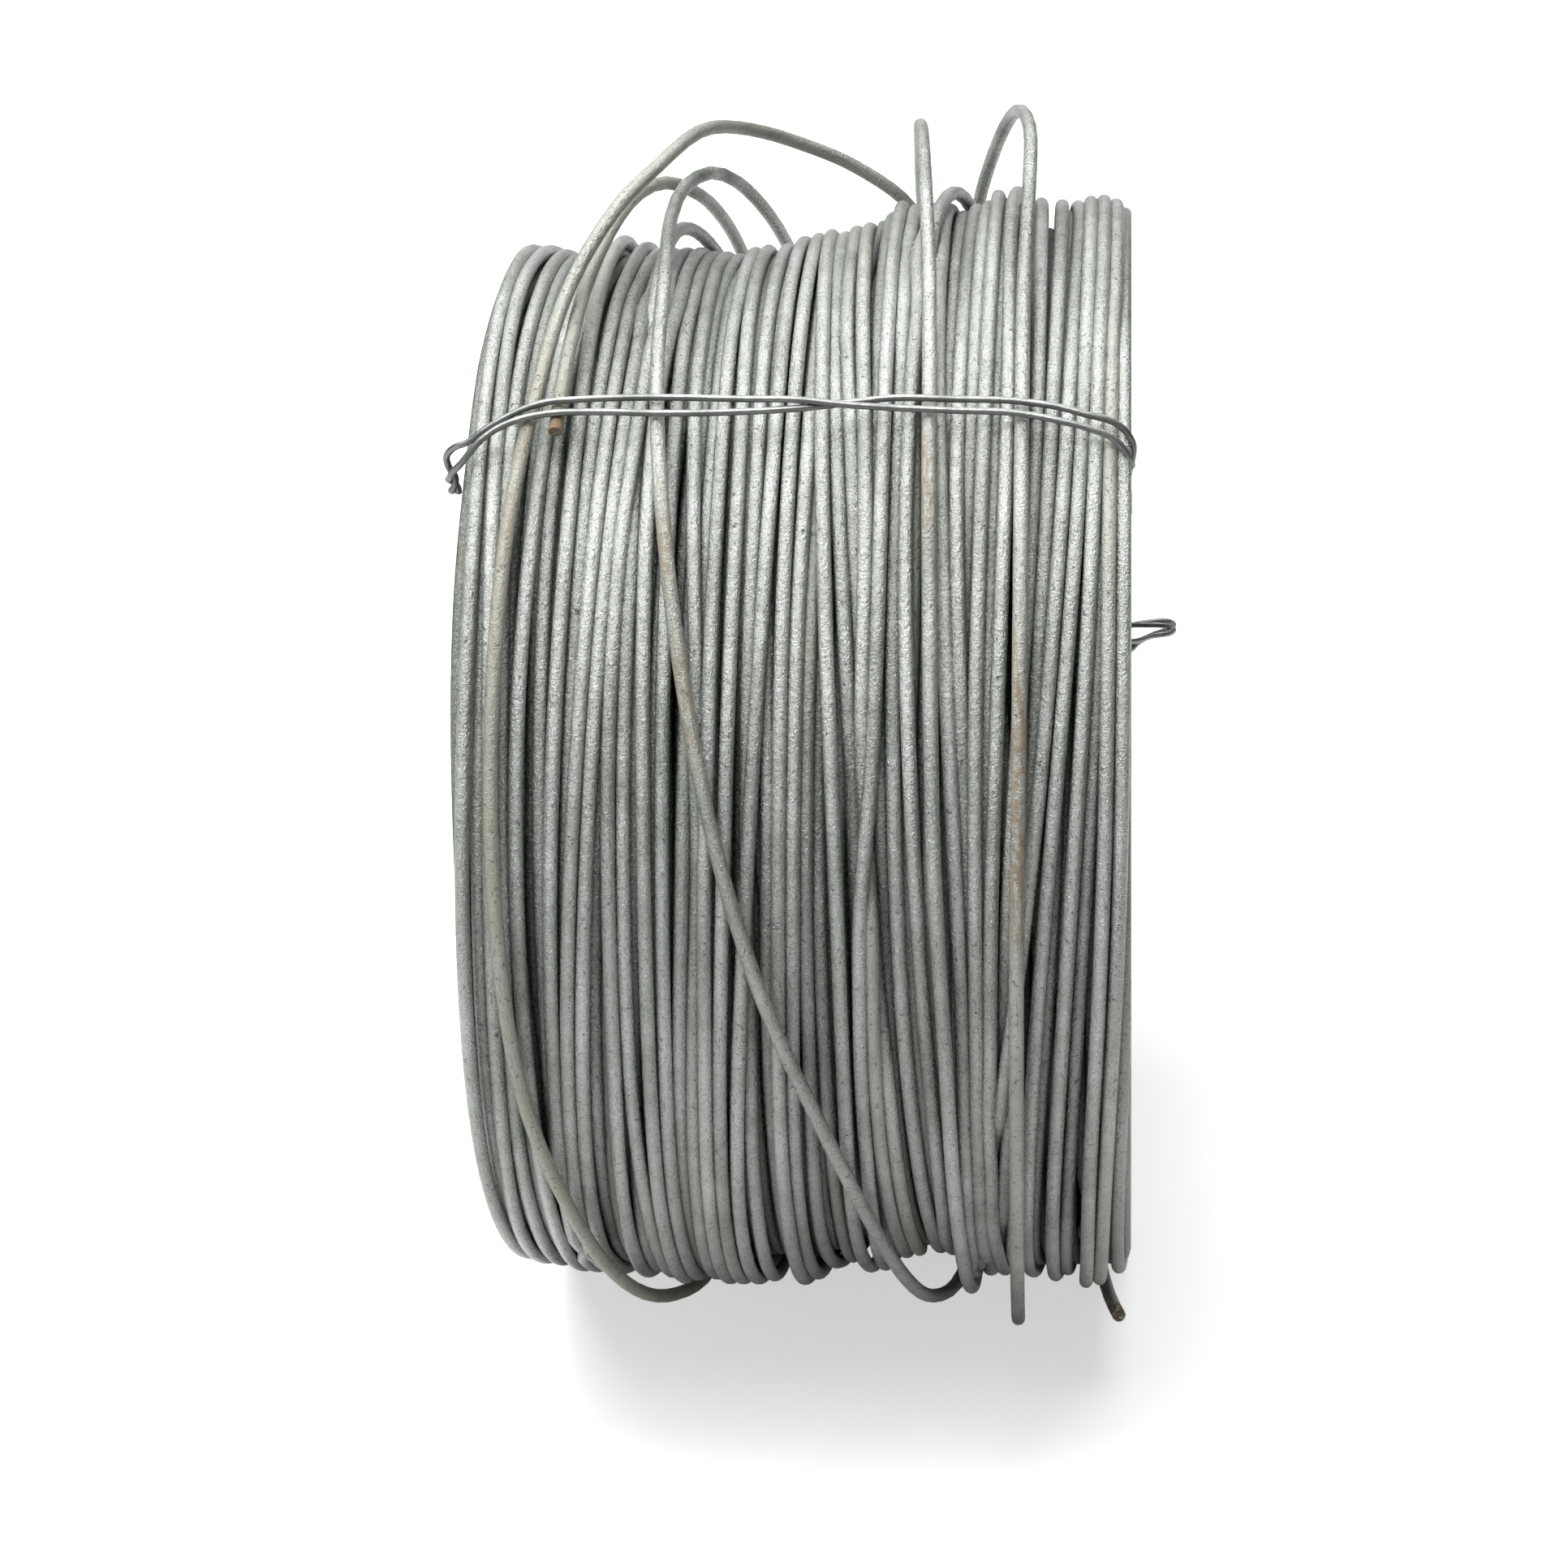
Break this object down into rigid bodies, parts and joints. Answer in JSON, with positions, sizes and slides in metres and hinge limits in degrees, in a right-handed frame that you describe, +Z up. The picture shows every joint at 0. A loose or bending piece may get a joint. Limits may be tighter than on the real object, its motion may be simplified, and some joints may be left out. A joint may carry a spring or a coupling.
{
  "type": "coil of fence tension wire",
  "caption": "Tied coil of galvanised steel fence tension wire with loose turns, standing on its rim.",
  "frame": {"origin": "the middle of the coil's bore, on its axis", "axes": "+X along the coil's axis to the end with the slack tie, +Z up, -Y towards the front"},
  "size_m": [0.2242, 0.3663, 0.3893],
  "materials": {
    "coil_wire": "satin",
    "tie_wire": "satin"
  },
  "bodies": {
    "root": {"wire_coil": "coil_wire", "tall_arch_turn": "coil_wire", "outer_wire_end": "coil_wire", "crossing_turn": "coil_wire", "edge_on_turn": "coil_wire", "wide_turn": "coil_wire", "lower_wire_end": "coil_wire", "front_tie": "tie_wire", "rear_tie": "tie_wire", "lower_tie": "tie_wire"}
  },
  "joints": []
}
